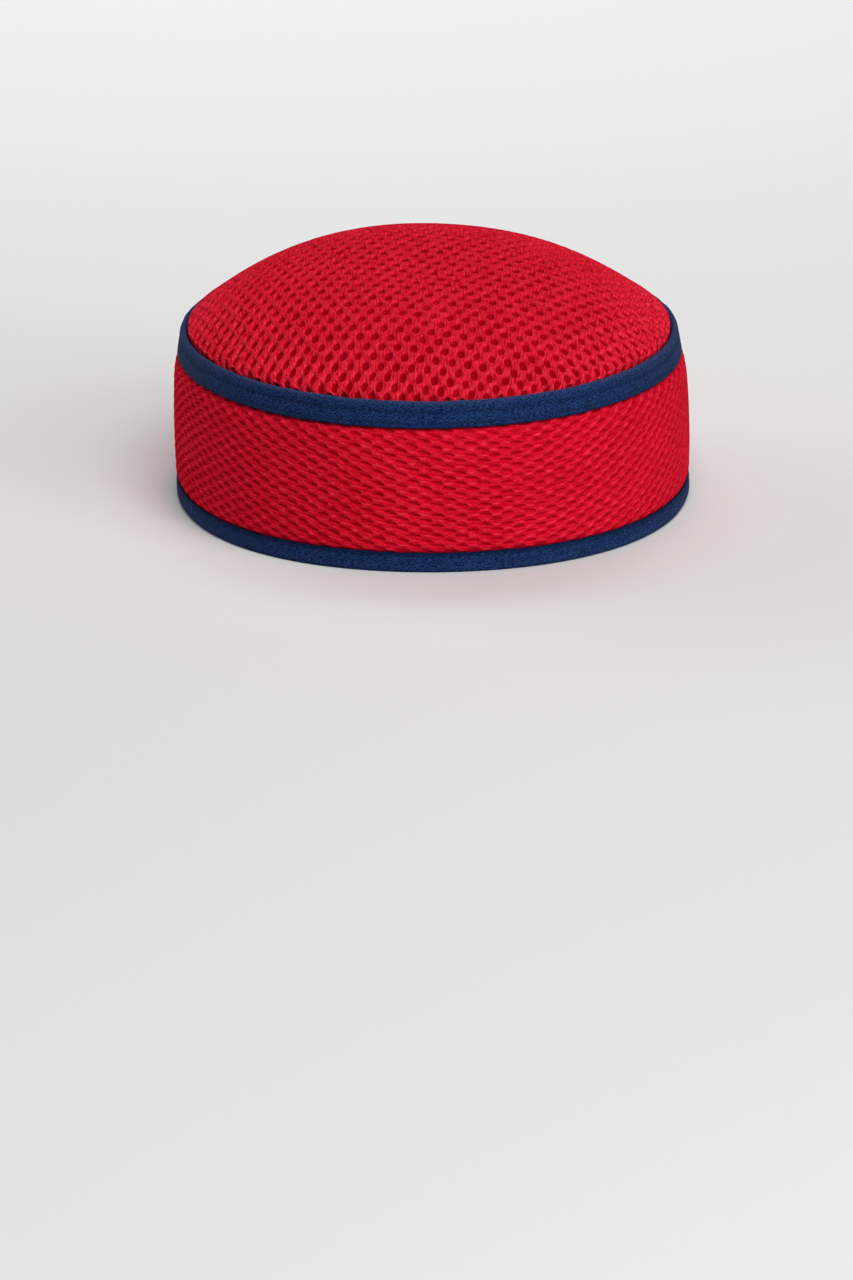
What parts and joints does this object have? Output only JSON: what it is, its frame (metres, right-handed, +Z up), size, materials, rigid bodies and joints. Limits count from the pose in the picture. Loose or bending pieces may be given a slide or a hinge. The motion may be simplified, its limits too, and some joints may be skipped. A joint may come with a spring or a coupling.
{
  "type": "kufi",
  "caption": "Brimless oval cap of red spacer mesh: domed crown and upright side band, with folded navy tape over the seam and round the hem.",
  "frame": {"origin": "middle of the hem, on the plane that the cap rests on", "axes": "+Z up through the crown, -Y to the front, +X to the left of the wearer"},
  "size_m": [0.1719, 0.206, 0.0792],
  "materials": {
    "red_mesh": "knitted spacer mesh, slight sheen",
    "navy_tape": "woven twill tape, matt"
  },
  "bodies": {
    "root": {"crown": "red_mesh", "side_band": "red_mesh", "crown_binding": "navy_tape", "hem_binding": "navy_tape"}
  },
  "joints": []
}
